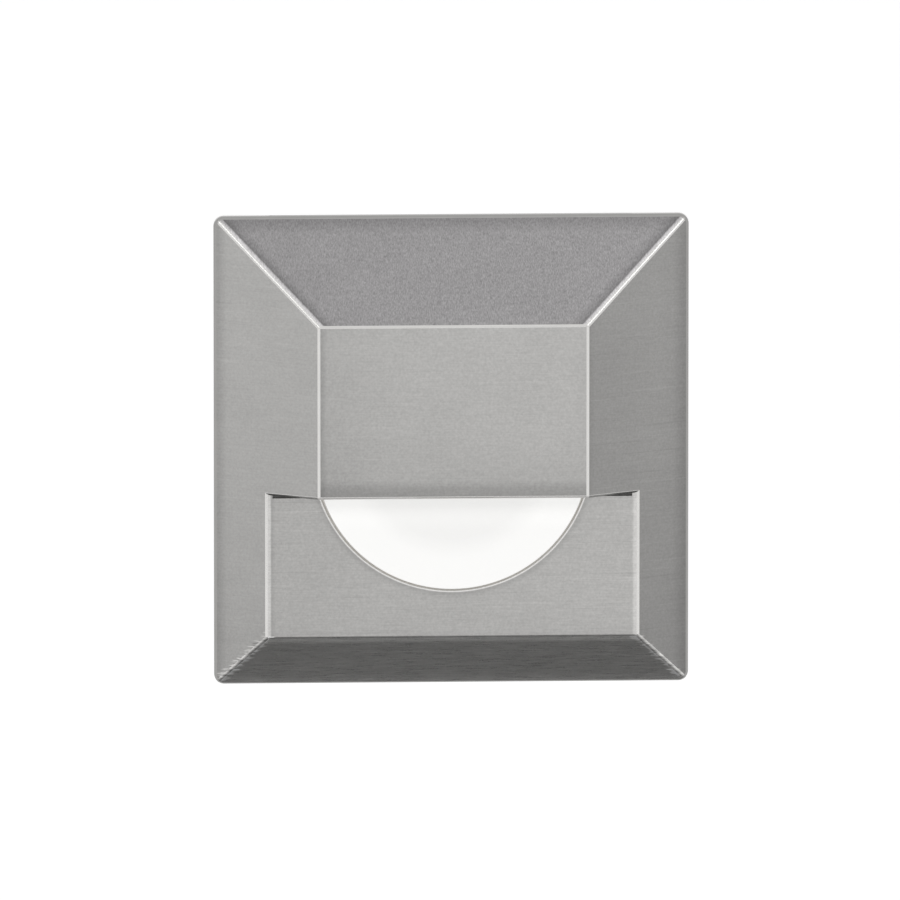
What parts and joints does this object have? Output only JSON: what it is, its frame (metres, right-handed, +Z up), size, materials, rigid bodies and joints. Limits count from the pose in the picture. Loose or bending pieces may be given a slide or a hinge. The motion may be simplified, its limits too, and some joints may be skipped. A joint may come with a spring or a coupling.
{
  "type": "recessed step light",
  "caption": "Small recessed step light: square bevelled face plate with a hood over a half-moon opal lens, round sealed body behind with sprung retention arms and a rear cable gland.",
  "frame": {"origin": "on the wall's face, at the centre of the light's round body", "axes": "+Y into the wall along the body's axis, +Z up, +X to the right as seen from the front"},
  "size_m": [0.07, 0.0725, 0.07],
  "materials": {
    "cast_stainless": "brushed, edges rounded and bright",
    "opal_lens": "opal white, satin",
    "dark_foam": "closed-cell foam and rubber, matt",
    "grey_silicone": "silicone, matt",
    "black_polymer": "moulded, satin",
    "white_reflector": "white, glossy",
    "white_board": "white solder mask",
    "led_phosphor": "yellow phosphor",
    "gold_pins": "plated",
    "cast_aluminium": "powder coat, fine texture",
    "green_board": "green solder mask",
    "zinc_steel": "zinc plated",
    "ferrite": "ferrite, matt",
    "capacitor_sleeve": "sleeve, satin",
    "green_polymer": "moulded",
    "stainless_screws": "turned",
    "spring_steel": "rolled sheet, satin",
    "spring_wire": "drawn wire"
  },
  "bodies": {
    "light_body": {"face_plate": "cast_stainless", "lens": "opal_lens", "wall_gasket": "dark_foam", "lens_gasket": "grey_silicone", "reflector": "white_reflector", "led_board": "white_board", "led_emitters": "led_phosphor", "thermal_pad": "grey_silicone", "feed_pins": "gold_pins", "feed_bush": "black_polymer", "housing": "cast_aluminium", "housing_seal": "dark_foam", "driver_board": "green_board", "driver_screws": "zinc_steel", "rectifier": "black_polymer", "driver_ic": "black_polymer", "inductor": "ferrite", "capacitors": "capacitor_sleeve", "terminal_block": "green_polymer", "rear_cap": "cast_aluminium", "cap_gasket": "dark_foam", "cap_screws": "stainless_screws", "gland_body": "black_polymer", "gland_seal": "grey_silicone", "gland_nut": "black_polymer", "right_pin": "stainless_screws", "left_pin": "stainless_screws", "right_spring": "spring_wire", "left_spring": "spring_wire"},
    "right_arm": {"right_arm": "spring_steel"},
    "left_arm": {"left_arm": "spring_steel"}
  },
  "joints": [
    {"name": "right_arm_fold", "type": "hinge", "parent": "light_body", "child": "right_arm", "pos_m": [0.021, 0.0356, 0], "axis": [0, 0, -1], "range_deg": [0, 22], "stiffness_Nm_per_rad": 0.01, "springref_deg": -28.65, "deforming": ["right_spring"]},
    {"name": "left_arm_fold", "type": "hinge", "parent": "light_body", "child": "left_arm", "pos_m": [-0.021, 0.0356, 0], "axis": [0, 0, 1], "range_deg": [0, 22], "stiffness_Nm_per_rad": 0.01, "springref_deg": -28.65, "deforming": ["left_spring"]}
  ]
}
